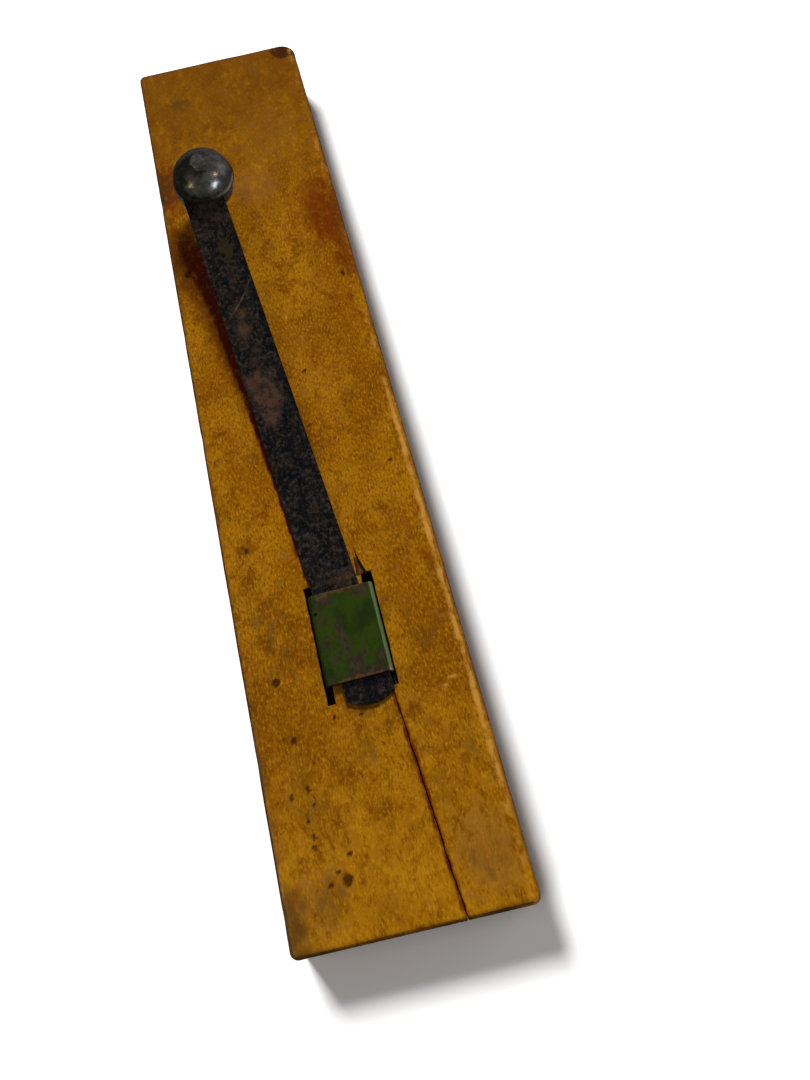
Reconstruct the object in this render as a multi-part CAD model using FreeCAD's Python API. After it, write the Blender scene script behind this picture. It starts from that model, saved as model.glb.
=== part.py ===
import FreeCAD, Part
import math
import os

from FreeCAD import Placement, Rotation
from FreeCAD import Vector as V

# A hand-flicked beat keeper: a wooden sounding bar carries a sprung steel reed in a green clip, and the
# reed's riveted striker beats on the wood. Sizes are in millimetres and degrees. +X is across the bar,
# +Y is along it towards the striker and +Z is up. The origin is the middle of the bar's underside.

# Sounding bar
bar_length = 260.0
bar_width = 50.0
bar_thickness = 15.0
near_end_skew = 1.7  # the near end was cut off square, so its left corner lies this much further in
corner_round = 1.8
worn_corner_round = 4.8  # the far right corner is knocked round
edge_round = 1.2

# Two sawn slots that the clip's legs pass through, and the shallow rebate under them
left_slot_x = (-7.75, -5.95)
left_slot_y = (-82.0, -54.3)
right_slot_x = (5.75, 8.3)
right_slot_y = (-81.0, -53.8)
rebate_depth = 2.0

# Damage to the wood: a split from the right slot to the near end, and a splinter torn out past the slot
split_width = 0.26
split_route = [(6.45, -80.5), (7.2, -90.3), (7.95, -99.2), (8.45, -106.7), (8.95, -116.7), (10.25, -131.0)]
splinter_x = (5.6, 7.5)
splinter_length = 5.0
splinter_depth = 1.6

# Clip, folded from one strip of sheet
sheet = 0.6
clip_x = (-7.3, 7.95)
clip_y = (-78.2, -56.9)
upper_bend = 1.5
lower_bend = 1.1
tab_length = 5.5

# Reed: a steel strip that lies flat in the clip and then rises at one even bend towards the striker
reed_width = 10.8
reed_thickness = 0.55
reed_skew = 5.2  # it is jammed across the clip, so it points this far to the left of the bar's length
reed_mouth_x = -0.45  # where its centre line leaves the clip
reed_tail_left = 25.0  # how far its left edge, tip and right edge reach behind the clip's mouth
reed_tail_tip = 27.2
reed_tail_right = 25.5
reed_flat = 2.0  # flat stretch past the mouth
reed_bent = 112.0  # length of the bent stretch
reed_rise = 8.5  # angle that the bend ends at
reed_seat = 11.0  # from the end of the bend to the striker's axis
reed_end = 5.2  # from the striker's axis to the reed's round end
reed_over_wood = 0.15
reed_under_clip = 0.25
tab_under_wood = 0.15

# Striker: a slightly flattened dome above the reed and a base below it, held together by one rivet
dome_radius = 8.4
dome_height = 6.8
base_radius = 8.1
base_wall = 3.3  # depth of the base's upright side, below which it tapers
base_bottom_radius = 6.4
base_height = 5.2
base_round = 1.0
base_offset = -0.6  # the base sits this far off the rivet's axis, to the left
striker_offset = 1.75  # it was riveted this far to the right of the reed's middle
rivet_radius = 1.5
rivet_hole_radius = 1.6
rivet_head_radius = 2.6
rivet_head_depth = 1.1
peened_radius = 2.3
peened_depth = 1.2

right = V(1, 0, 0)
forward = V(0, 1, 0)
up = V(0, 0, 1)
reed_bottom = bar_thickness + reed_over_wood
saddle_bottom = reed_bottom + reed_thickness + reed_under_clip
tab_top = rebate_depth - tab_under_wood
rise = math.radians(reed_rise)
bend_radius = reed_bent / rise

# The reed's own frame has its origin on the reed's underside at the clip's mouth and +Y along the reed.
# The striker's frame sits on the reed's underside where the rivet passes, with +Z along the rivet.
reed_place = Placement(V(reed_mouth_x, clip_y[1], reed_bottom), Rotation(up, reed_skew))
seat_y = reed_flat + bend_radius * math.sin(rise) + reed_seat * math.cos(rise)
seat_z = bend_radius * (1 - math.cos(rise)) + reed_seat * math.sin(rise)
striker_place = reed_place.multiply(Placement(V(striker_offset, seat_y, seat_z), Rotation(right, reed_rise)))


def box(x_range, y_range, z_range):
    size = [high - low for low, high in (x_range, y_range, z_range)]
    return Part.makeBox(*size, V(x_range[0], y_range[0], z_range[0]))


def edges_along(shape, direction):
    return [e for e in shape.Edges if abs(e.tangentAt(e.FirstParameter).dot(direction)) > 0.999]


def prism(points, height):
    face = Part.Face(Part.makePolygon(points + points[:1]))
    return face.extrude(height)


def bar_blank():
    side = bar_width / 2
    end = bar_length / 2
    corners = [V(-side, near_end_skew - end), V(side, -end), V(side, end), V(-side, end)]
    blank = prism(corners, up * bar_thickness)
    upright = edges_along(blank, up)
    worn = [e for e in upright if e.CenterOfMass.x > 0 and e.CenterOfMass.y > 0]
    blank = blank.makeFillet(worn_corner_round, worn)
    sharp = [e for e in edges_along(blank, up) if e.CenterOfMass.x < 0 or e.CenterOfMass.y < 0]
    blank = blank.makeFillet(corner_round, sharp)
    rims = [e for e in blank.Edges if e.BoundBox.ZLength < 0.01]
    return blank.makeFillet(edge_round, rims)


def clip_slots():
    through = (-1, bar_thickness + 1)
    left = box(left_slot_x, left_slot_y, through)
    right = box(right_slot_x, right_slot_y, through)
    rebate_x = (left_slot_x[0], right_slot_x[1])
    rebate_y = (left_slot_y[0], right_slot_y[1])
    rebate = box(rebate_x, rebate_y, (-1, rebate_depth))
    return left.fuse([right, rebate])


def split():
    half = V(split_width / 2, 0, 0)
    route = [V(x, y, -1) for x, y in split_route]
    outline = [p - half for p in route] + [p + half for p in reversed(route)]
    return prism(outline, up * (bar_thickness + 2))


def torn_splinter():
    x = splinter_x[0]
    start = right_slot_y[1] - 0.5
    end = right_slot_y[1] + splinter_length
    outline = [
        V(x, start, bar_thickness + 1),
        V(x, start, bar_thickness - splinter_depth),
        V(x, end, bar_thickness),
        V(x, end, bar_thickness + 1),
    ]
    return prism(outline, right * (splinter_x[1] - x))


def sounding_bar():
    return bar_blank().cut([clip_slots(), split(), torn_splinter()])


def folded_band(inset, upper_radius, lower_radius):
    x_range = (clip_x[0] + inset, clip_x[1] - inset)
    z_range = (tab_top - sheet + inset, saddle_bottom + sheet - inset)
    band = box(x_range, clip_y, z_range)
    upper = [e for e in edges_along(band, forward) if e.CenterOfMass.z > rebate_depth]
    band = band.makeFillet(upper_radius, upper)
    lower = [e for e in edges_along(band, forward) if e.CenterOfMass.z < rebate_depth]
    return band.makeFillet(lower_radius, lower)


def reed_clip():
    outside = folded_band(0, upper_bend, lower_bend)
    inside = folded_band(sheet, upper_bend - sheet, lower_bend - sheet)
    tab_gap = box((clip_x[0] + tab_length, clip_x[1] - tab_length), clip_y, (0, rebate_depth))
    return outside.cut([inside, tab_gap])


def reed_section_line(offset):
    """The flat, bent and straight stretches of the reed seen from its side, raised by offset."""
    radius = bend_radius - offset
    centre = V(0, reed_flat, bend_radius)
    leave = centre + V(0, radius * math.sin(rise), -radius * math.cos(rise))
    middle = centre + V(0, radius * math.sin(rise / 2), -radius * math.cos(rise / 2))
    straight = V(0, math.cos(rise), math.sin(rise)) * (reed_seat + reed_end + 5)
    start = V(0, -reed_tail_tip - 5, offset)
    turn = V(0, reed_flat, offset)
    line = [Part.makeLine(start, turn), Part.Arc(turn, middle, leave).toShape()]
    return line + [Part.makeLine(leave, leave + straight)]


def reed_strip():
    bottom = reed_section_line(0)
    top = reed_section_line(reed_thickness)
    ends = [Part.makeLine(bottom[i].Vertexes[j].Point, top[i].Vertexes[j].Point) for i, j in ((0, 0), (2, 1))]
    section = Part.Wire(Part.__sortEdges__(bottom + top + ends))
    sheet_metal = Part.Face(section).extrude(V(reed_width, 0, 0))
    sheet_metal.translate(V(-reed_width / 2, 0, 0))

    side = reed_width / 2
    tip_y = seat_y + reed_end * math.cos(rise)
    left_tail = V(-side, -reed_tail_left, -1)
    right_tail = V(side, -reed_tail_right, -1)
    left_end = V(-side, tip_y - side, -1)
    right_end = V(side, tip_y - side, -1)
    plan = Part.Wire([
        Part.Arc(left_tail, V(0, -reed_tail_tip, -1), right_tail).toShape(),
        Part.makeLine(right_tail, right_end),
        Part.Arc(right_end, V(0, tip_y, -1), left_end).toShape(),
        Part.makeLine(left_end, left_tail),
    ])
    reed = sheet_metal.common(Part.Face(plan).extrude(V(0, 0, 40)))
    reed.Placement = reed_place
    hole = Part.makeCylinder(rivet_hole_radius, 10, V(0, 0, -5))
    hole.Placement = striker_place
    return reed.cut(hole)


def dome_ball():
    """The ball in the striker's frame that the dome is the top of."""
    ball_radius = (dome_radius**2 + dome_height**2) / (2 * dome_height)
    return Part.makeSphere(ball_radius, V(0, 0, reed_thickness + dome_height - ball_radius))


def striker_rivet_blank():
    """The rivet in the striker's frame: a countersunk head below, peened over at the top of the dome."""
    bottom = -base_height
    top = reed_thickness + dome_height
    shank = Part.makeCylinder(rivet_radius, top - bottom, V(0, 0, bottom))
    head = Part.makeCone(rivet_head_radius, rivet_radius, rivet_head_depth, V(0, 0, bottom))
    peened = Part.makeCone(rivet_radius, peened_radius, peened_depth, V(0, 0, top - peened_depth))
    return shank.fuse([head, peened]).common(dome_ball())


def striker_dome():
    above_reed = Part.makeCylinder(dome_radius + 1, dome_height + 1, V(0, 0, reed_thickness))
    dome = dome_ball().common(above_reed).cut(striker_rivet_blank())
    dome.Placement = striker_place
    return dome


def striker_base():
    wall = Part.makeCylinder(base_radius, base_wall, V(base_offset, 0, -base_wall))
    bottom = V(base_offset, 0, -base_height)
    taper = Part.makeCone(base_bottom_radius, base_radius, base_height - base_wall, bottom)
    base = wall.fuse(taper)
    bottom_rim = [e for e in base.Edges if e.BoundBox.ZMax < 0.01 - base_height]
    base = base.makeFillet(base_round, bottom_rim).cut(striker_rivet_blank())
    base.Placement = striker_place
    return base


def striker_rivet():
    rivet = striker_rivet_blank()
    rivet.Placement = striker_place
    return rivet


pieces = [sounding_bar, reed_clip, reed_strip, striker_dome, striker_base, striker_rivet]
os.makedirs("parts", exist_ok=True)
for piece in pieces:
    shape = piece()
    solid = shape.Solids[0]
    name = piece.__name__
    solid.exportStep("parts/" + name + ".step")
    low, high = solid.BoundBox.ZMin, solid.BoundBox.ZMax
    print(name, len(shape.Solids), "solid", round(solid.Volume, 1), "mm3, z", round(low, 2), "to", round(high, 2))
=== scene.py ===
import itertools
import math

import bmesh
import bpy
import numpy as np
from mathutils import Euler, Matrix, Vector


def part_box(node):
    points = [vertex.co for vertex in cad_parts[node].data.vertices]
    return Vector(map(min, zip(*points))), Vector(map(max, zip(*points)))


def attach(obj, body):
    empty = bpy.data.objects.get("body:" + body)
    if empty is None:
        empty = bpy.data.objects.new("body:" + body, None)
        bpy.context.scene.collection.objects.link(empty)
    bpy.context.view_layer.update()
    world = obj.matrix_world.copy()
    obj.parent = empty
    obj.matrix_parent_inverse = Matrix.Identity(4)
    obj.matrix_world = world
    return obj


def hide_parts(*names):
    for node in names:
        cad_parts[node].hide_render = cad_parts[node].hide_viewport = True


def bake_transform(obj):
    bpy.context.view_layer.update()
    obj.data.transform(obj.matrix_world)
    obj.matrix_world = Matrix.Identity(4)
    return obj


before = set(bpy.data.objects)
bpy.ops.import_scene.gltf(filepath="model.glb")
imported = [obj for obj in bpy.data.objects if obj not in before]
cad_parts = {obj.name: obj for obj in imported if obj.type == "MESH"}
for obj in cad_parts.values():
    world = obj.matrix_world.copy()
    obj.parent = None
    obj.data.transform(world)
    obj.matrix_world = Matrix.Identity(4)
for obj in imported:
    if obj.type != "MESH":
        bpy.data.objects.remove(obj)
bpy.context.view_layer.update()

# Every size below is in millimetres and degrees. Meshes are scaled to metres when they are made.
MM = 0.001

# The noise that shapes and masks use repeats after this many lumps.
LATTICE = 48


def box_mm(node):
    low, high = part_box(node)
    return np.array(low) / MM, np.array(high) / MM


# Sounding bar
bar_low, bar_high = box_mm("sounding_bar")
bar_top = bar_high[2]
bar_side = bar_high[0]
bar_grid = (0.6, 0.75, 1.2)  # spacing of its grid lines along X, Y and Z
near_end_skew = 1.7
skew_reach = 30.0  # the skew fades out this far from the near end
corner_round = 1.8
worn_corner_round = 4.8
edge_round = 1.3
edge_unevenness = 0.3
rim_steps = 5
left_slot = ((-7.75, -82.0), (-5.95, -54.3))
right_slot = ((5.75, -81.0), (8.3, -53.8))
rebate_depth = 2.0
split_route = [(6.45, -80.5), (7.2, -90.3), (7.95, -99.2), (8.45, -106.7), (8.95, -116.7), (10.25, -131.0)]
split_width = 0.26
splinter_tip = (5.4, -46.9)
splinter_mouth = (4.75, 7.55)
splinter_depth = 1.2

# Clip
clip_low, clip_high = box_mm("reed_clip")
sheet = 0.6
upper_bend = 1.5
lower_bend = 1.1
tab_length = 5.5

# Reed
reed_width = 10.8
reed_thickness = 0.55
reed_skew = 5.2
reed_over_wood = 0.15
reed_mouth = Vector((-0.45, clip_high[1], bar_top + reed_over_wood))
reed_tail_left = 25.0
reed_tail_tip = 27.2
reed_tail_right = 25.5
reed_flat = 2.0
reed_bent = 112.0
reed_rise = math.radians(8.5)
reed_seat = 11.0
reed_end = 5.2
bend_radius = reed_bent / reed_rise
reed_edge_crowding = 0.94  # its grid lines crowd towards its edges, fully at 1

# Striker
dome_radius = 8.4
dome_height = 6.8
base_radius = 8.1
base_wall = 3.3
base_bottom_radius = 6.4
base_height = 5.2
base_round = 0.95
base_offset = -0.6
striker_offset = 1.75
rivet_radius = 1.5
bore_radius = 1.6
rivet_head_radius = 2.6
rivet_head_depth = 1.1
peened_radius = 2.3
peened_depth = 1.2

reed_place = Matrix.Translation(reed_mouth) @ Matrix.Rotation(math.radians(reed_skew), 4, "Z")
seat_y = reed_flat + bend_radius * math.sin(reed_rise) + reed_seat * math.cos(reed_rise)
seat_z = bend_radius * (1 - math.cos(reed_rise)) + reed_seat * math.sin(reed_rise)
striker_place = (
    reed_place
    @ Matrix.Translation((striker_offset, seat_y, seat_z))
    @ Matrix.Rotation(reed_rise, 4, "X")
)


# Shapes


def ramp(low, high, value):
    """A smooth step from 0 at low to 1 at high, which falls instead where low is the larger."""
    t = np.clip((value - low) / (high - low), 0, 1)
    return t * t * (3 - 2 * t)


def lumps(points, size, seed):
    """Smooth seeded noise from -1 to 1 at points in millimetres, with lumps about size across."""
    table = np.random.default_rng(seed).uniform(-1, 1, (LATTICE,) * 3)
    cell = points / np.array(size) + LATTICE / 2
    low = np.floor(cell).astype(int)
    t = cell - low
    t = t * t * (3 - 2 * t)
    total = np.zeros(len(points))
    for corner in itertools.product((0, 1), repeat=3):
        weight = np.prod(np.where(corner, t, 1 - t), axis=1)
        x, y, z = ((low + corner) % LATTICE).T
        total += weight * table[x, y, z]
    return total


def moved(points, matrix):
    turn = np.array(matrix.to_3x3())
    return points @ turn.T + np.array(matrix.translation)


def box_surface(xs, ys, zs):
    """A box's surface in quads, with a grid line at each given place on each axis."""
    counts = [len(xs), len(ys), len(zs)]
    quads = []
    for axis in range(3):
        across, along = (axis + 1) % 3, (axis + 2) % 3
        i, j = np.meshgrid(np.arange(counts[across] - 1), np.arange(counts[along] - 1), indexing="ij")
        for side in (0, counts[axis] - 1):
            ring = [(0, 0), (1, 0), (1, 1), (0, 1)]
            if side == 0:
                ring.reverse()
            keys = []
            for step_across, step_along in ring:
                index = [None, None, None]
                index[axis] = np.full(i.shape, side)
                index[across] = i + step_across
                index[along] = j + step_along
                keys.append((index[0] * counts[1] + index[1]) * counts[2] + index[2])
            quads.append(np.stack(keys, axis=-1).reshape(-1, 4))
    used, faces = np.unique(np.concatenate(quads), return_inverse=True)
    x = xs[used // (counts[1] * counts[2])]
    y = ys[used // counts[2] % counts[1]]
    z = zs[used % counts[2]]
    return np.stack([x, y, z], axis=1), faces.reshape(-1, 4)


def swept(rings):
    """Quads over a stack of closed rings, with a cap at each end made of quads across the ring."""
    count, size = rings.shape[:2]
    index = np.arange(count * size).reshape(count, size)
    following = np.roll(index, -1, axis=1)
    walls = np.stack([index[:-1], following[:-1], following[1:], index[1:]], axis=-1).reshape(-1, 4)
    half = size // 2
    caps = []
    for row, order in ((0, 1), (count - 1, -1)):
        for i in range(half - 1):
            quad = [index[row][i], index[row][size - 1 - i], index[row][size - 2 - i], index[row][i + 1]]
            caps.append(quad[::order])
    return rings.reshape(-1, 3), np.concatenate([walls, np.array(caps)])


def turned(profile, segments):
    """A closed profile of (radius, height) turned round the Z axis, in quads."""
    angles = np.linspace(0, 2 * math.pi, segments, endpoint=False)
    radius, height = np.array(profile).T
    x = np.outer(np.cos(angles), radius)
    y = np.outer(np.sin(angles), radius)
    z = np.outer(np.ones(segments), height)
    index = np.arange(segments * len(profile)).reshape(segments, len(profile))
    beside = np.roll(index, -1, axis=0)
    above = np.roll(index, -1, axis=1)
    both = np.roll(beside, -1, axis=1)
    faces = np.stack([index, above, both, beside], axis=-1).reshape(-1, 4)
    return np.stack([x, y, z], axis=-1).reshape(-1, 3), faces


def new_object(name, points, faces):
    mesh = bpy.data.meshes.new(name)
    mesh.from_pydata((points * MM).tolist(), [], faces.tolist())
    made = bpy.data.objects.new(name, mesh)
    bpy.context.scene.collection.objects.link(made)
    return made


def clean(piece):
    """Joins points that coincide and turns every face outwards."""
    work = bmesh.new()
    work.from_mesh(piece.data)
    bmesh.ops.remove_doubles(work, verts=work.verts, dist=0.002 * MM)
    bmesh.ops.dissolve_degenerate(work, edges=work.edges, dist=0.002 * MM)
    bmesh.ops.recalc_face_normals(work, faces=work.faces)
    work.to_mesh(piece.data)
    work.free()


def apply_modifiers(piece):
    graph = bpy.context.evaluated_depsgraph_get()
    piece.data = bpy.data.meshes.new_from_object(piece.evaluated_get(graph))
    piece.data.materials.clear()
    piece.modifiers.clear()


def cut(piece, cutters):
    for cutter in cutters:
        difference = piece.modifiers.new(cutter.name, "BOOLEAN")
        difference.operation = "DIFFERENCE"
        difference.solver = "MANIFOLD"
        difference.object = cutter
    apply_modifiers(piece)
    for cutter in cutters:
        bpy.data.objects.remove(cutter)


def ease_edges(piece, width, sharper_than=55):
    bevel = piece.modifiers.new("eased edges", "BEVEL")
    bevel.width = width * MM
    bevel.segments = 2
    bevel.limit_method = "ANGLE"
    bevel.angle_limit = math.radians(sharper_than)
    apply_modifiers(piece)


def places(piece):
    """The piece's points in millimetres."""
    flat = np.zeros(len(piece.data.vertices) * 3)
    piece.data.vertices.foreach_get("co", flat)
    return flat.reshape(-1, 3) / MM


def add_mask(piece, name, values):
    mask = piece.data.attributes.new(name, "FLOAT", "POINT")
    mask.data.foreach_set("value", np.clip(values, 0, 1).astype(np.float32))


def add_rest_places(piece, points):
    """Keeps where each point is at rest, in millimetres, so that a surface keeps its pattern as it bends."""
    rest = piece.data.attributes.new("place", "FLOAT_VECTOR", "POINT")
    rest.data.foreach_set("vector", points.astype(np.float32).ravel())


def smooth_shade(piece, sharp_angle):
    piece.data.shade_smooth()
    piece.data.set_sharp_from_angle(angle=math.radians(sharp_angle))


def hump(value, centre, width):
    """A smooth hump that is 1 at the centre."""
    return np.exp(-(((value - centre) / width) ** 2))


def patches(points, marks, warp, seed):
    """Soft patches given as (x, y, half width, half length, strength), with ragged outlines."""
    raggedness = 2.2
    shift_x = warp * lumps(points, raggedness, seed)
    shift_y = warp * lumps(points, raggedness, seed + 1)
    total = np.zeros(len(points))
    for x, y, half_width, half_length, strength in marks:
        across = (points[:, 0] + shift_x - x) / half_width
        along = (points[:, 1] + shift_y - y) / half_length
        total = np.maximum(total, strength * (1 - ramp(0.25, 1.25, np.hypot(across, along))))
    return total


# Materials


def srgb(red, green, blue):
    """A colour given on the usual 0 to 255 scale, as the shader's linear values."""
    channels = []
    for value in (red, green, blue):
        share = value / 255
        channels.append(share / 12.92 if share <= 0.04045 else ((share + 0.055) / 1.055) ** 2.4)
    return (*channels, 1)


class Paint:
    """Adds nodes to one material."""

    def __init__(self, name):
        self.material = bpy.data.materials.new(name)
        self.material.use_nodes = True
        self.nodes = self.material.node_tree.nodes
        self.shader = self.nodes["Principled BSDF"]

    def connect(self, value, socket):
        if isinstance(value, bpy.types.NodeSocket):
            self.material.node_tree.links.new(value, socket)
        else:
            socket.default_value = value

    def set(self, **sockets):
        """Sets or links the shader's sockets. An underscore in a name stands for a space."""
        for name, value in sockets.items():
            self.connect(value, self.shader.inputs[name.replace("_", " ")])

    def mask(self, name):
        node = self.nodes.new("ShaderNodeAttribute")
        node.attribute_name = name
        return node.outputs["Fac"]

    def place(self):
        node = self.nodes.new("ShaderNodeAttribute")
        node.attribute_name = "place"
        return node.outputs["Vector"]

    def noise(self, per_mm, detail=3, roughness=0.55, offset=0.0, distortion=0.0):
        mapping = self.nodes.new("ShaderNodeMapping")
        mapping.inputs["Scale"].default_value = per_mm
        mapping.inputs["Location"].default_value = (offset, offset, offset)
        self.connect(self.place(), mapping.inputs["Vector"])
        node = self.nodes.new("ShaderNodeTexNoise")
        node.inputs["Scale"].default_value = 1
        node.inputs["Detail"].default_value = detail
        node.inputs["Roughness"].default_value = roughness
        node.inputs["Distortion"].default_value = distortion
        self.connect(mapping.outputs["Vector"], node.inputs["Vector"])
        return node.outputs["Fac"]

    def remap(self, value, low, high, to_low=0.0, to_high=1.0):
        node = self.nodes.new("ShaderNodeMapRange")
        node.interpolation_type = "SMOOTHSTEP"
        self.connect(value, node.inputs["Value"])
        for name, number in (("From Min", low), ("From Max", high), ("To Min", to_low), ("To Max", to_high)):
            node.inputs[name].default_value = number
        return node.outputs["Result"]

    def combine(self, operation, first, second):
        node = self.nodes.new("ShaderNodeMath")
        node.operation = operation
        self.connect(first, node.inputs[0])
        self.connect(second, node.inputs[1])
        return node.outputs[0]

    def add(self, first, second):
        return self.combine("ADD", first, second)

    def times(self, first, second):
        return self.combine("MULTIPLY", first, second)

    def blend(self, factor, first, second):
        """Mixes two colours. A colour mix has them in sockets 6 and 7, and its result in output 2."""
        node = self.nodes.new("ShaderNodeMix")
        node.data_type = "RGBA"
        self.connect(factor, node.inputs["Factor"])
        self.connect(first, node.inputs[6])
        self.connect(second, node.inputs[7])
        return node.outputs[2]

    def layer(self, under, tone, value, low, high, strength=1.0):
        """Lays a tone over a colour, from not at all where value is low to strength where it is high."""
        return self.blend(self.remap(value, low, high, 0, strength), under, srgb(*tone))

    def layers(self, colour, rows):
        """Lays tones over a colour one after another. Each row holds what layer takes after the colour."""
        for row in rows:
            colour = self.layer(colour, *row)
        return colour

    def bump(self, height, depth_mm, under=None):
        node = self.nodes.new("ShaderNodeBump")
        node.inputs["Strength"].default_value = 1
        node.inputs["Distance"].default_value = depth_mm * MM
        self.connect(height, node.inputs["Height"])
        if under is not None:
            self.connect(under, node.inputs["Normal"])
        return node.outputs["Normal"]


def varnished_wood():
    paint = Paint("varnished_wood")
    cloud = paint.noise((0.075, 0.04, 0.075), detail=5, roughness=0.6)
    blotch = paint.noise((0.3, 0.2, 0.3), detail=5, roughness=0.6, offset=7)
    fleck = paint.noise((2.2, 0.88, 2.2), detail=3, roughness=0.6, offset=3, distortion=0.3)
    pore = paint.noise((4.2, 1.3, 4.2), detail=2, offset=11)
    speck = paint.noise((1.6, 1.2, 1.6), detail=1, offset=23)

    colour = paint.blend(paint.remap(cloud, 0.36, 0.62), srgb(122, 74, 2), srgb(146, 97, 8))
    colour = paint.layer(colour, (106, 60, 2), blotch, 0.45, 0.68, 0.9)
    smear = paint.noise((0.13, 0.07, 0.13), detail=5, roughness=0.65, offset=53)
    near = paint.remap(paint.mask("lit_near_end"), 0, 0.6)
    smeared = paint.times(near, paint.remap(smear, 0.48, 0.62, 0, 0.6))
    colour = paint.blend(smeared, colour, srgb(98, 56, 3))
    clear = paint.remap(paint.mask("dull_shaded_far_end"), 0.1, 0.9, 1.0, 0.45)
    dark_fleck = paint.times(clear, paint.remap(fleck, 0.51, 0.65, 0, 0.68))
    pale_fleck = paint.times(clear, paint.remap(fleck, 0.47, 0.33, 0, 0.55))
    colour = paint.blend(dark_fleck, colour, srgb(92, 50, 1))
    colour = paint.blend(pale_fleck, colour, srgb(174, 120, 16))
    colour = paint.layer(colour, (78, 41, 2), pore, 0.56, 0.7, 0.6)
    colour = paint.layer(colour, (60, 34, 6), speck, 0.74, 0.78, 0.7)

    ring = paint.noise((0.12, 0.012, 1.3), detail=4, roughness=0.6, offset=47)
    on_side = paint.remap(paint.mask("side"), 0.3, 0.9)
    rings = paint.times(on_side, paint.remap(ring, 0.47, 0.6))
    colour = paint.blend(paint.times(rings, 0.6), colour, srgb(92, 52, 6))
    colour = paint.layer(colour, (84, 48, 8), paint.mask("end_grain"), 0.3, 0.9, 0.45)

    rough_edge = paint.noise((0.55, 0.3, 0.55), detail=6, roughness=0.65, offset=31)

    def ragged(name, strength, raggedness):
        wobble = paint.remap(rough_edge, 0.25, 0.75, -raggedness, raggedness)
        ragged_mask = paint.add(paint.mask(name), wobble)
        return paint.remap(ragged_mask, 0.12, 1.0, 0, strength)

    for name, strength, raggedness, tone in (
        # Painted light: the near end lighter, the far end darker.
        ("lit_near_end", 0.5, 0.4, (184, 128, 12)),
        ("dull_shaded_far_end", 0.75, 0.4, (94, 55, 2)),
        # Hazy varnish and a painted sheen.
        ("haze_and_sheen", 0.5, 0.4, (132, 88, 34)),
        # Red stain, and painted shadow of the striker.
        ("red_stain_and_shade", 0.95, 0.22, (90, 32, 0)),
        # Painted soft shadow edge, then painted shadow of the reed and striker mixed with rust stain.
        ("reed_soft_shadow", 0.75, 0.4, (86, 39, 1)),
        ("reed_shadow_and_rust", 0.97, 0.4, (76, 11, 0)),
        # Dirt, and painted shadow of the striker.
        ("grime_and_shade", 0.75, 0.4, (70, 44, 12)),
    ):
        colour = paint.blend(ragged(name, strength, raggedness), colour, srgb(*tone))
    mark = paint.add(paint.mask("dark_mark"), paint.remap(pore, 0.3, 0.7, -0.12, 0.12))
    colour = paint.layer(colour, (48, 21, 5), mark, 0.1, 0.8, 0.88)
    # Worn varnish, and a painted highlight along the right edge.
    colour = paint.blend(ragged("pale_wear_and_highlight", 0.8, 0.4), colour, srgb(182, 132, 58))

    grain = paint.bump(fleck, 0.012)
    grain = paint.bump(pore, 0.008, under=grain)
    ripple = paint.noise((0.5, 0.3, 0.5), detail=2, offset=41)
    rough = paint.remap(cloud, 0.3, 0.7, 0.2, 0.28)
    rough = paint.add(rough, paint.remap(ragged("haze_and_sheen", 1.0, 0.4), 0, 1, 0, 0.08))
    paint.set(
        Base_Color=colour,
        Roughness=rough,
        Specular_IOR_Level=0.11,
        Normal=paint.bump(ripple, 0.06, under=grain),
    )
    return paint.material


def torn_wood():
    """Bare, dirty wood in the slots, the rebate, the split and the torn splinter, painted darker deeper in
    as shade.
    """
    paint = Paint("torn_wood")
    fibre = paint.noise((2.4, 0.5, 2.4), detail=3)
    dirt = paint.noise((0.7, 0.4, 0.7), detail=3, offset=5)
    colour = paint.blend(paint.remap(fibre, 0.35, 0.65), srgb(70, 44, 16), srgb(112, 78, 34))
    colour = paint.blend(paint.remap(dirt, 0.4, 0.65, 0.2, 0.7), colour, srgb(40, 30, 12))
    # Painted shade: near black further from the faces, deep in the slots and the split.
    colour = paint.layer(colour, (16, 11, 7), paint.mask("depth"), 0.1, 0.6)
    paint.set(Base_Color=colour, Roughness=0.85, Specular_IOR_Level=0.08, Normal=paint.bump(fibre, 0.25))
    return paint.material


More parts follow.
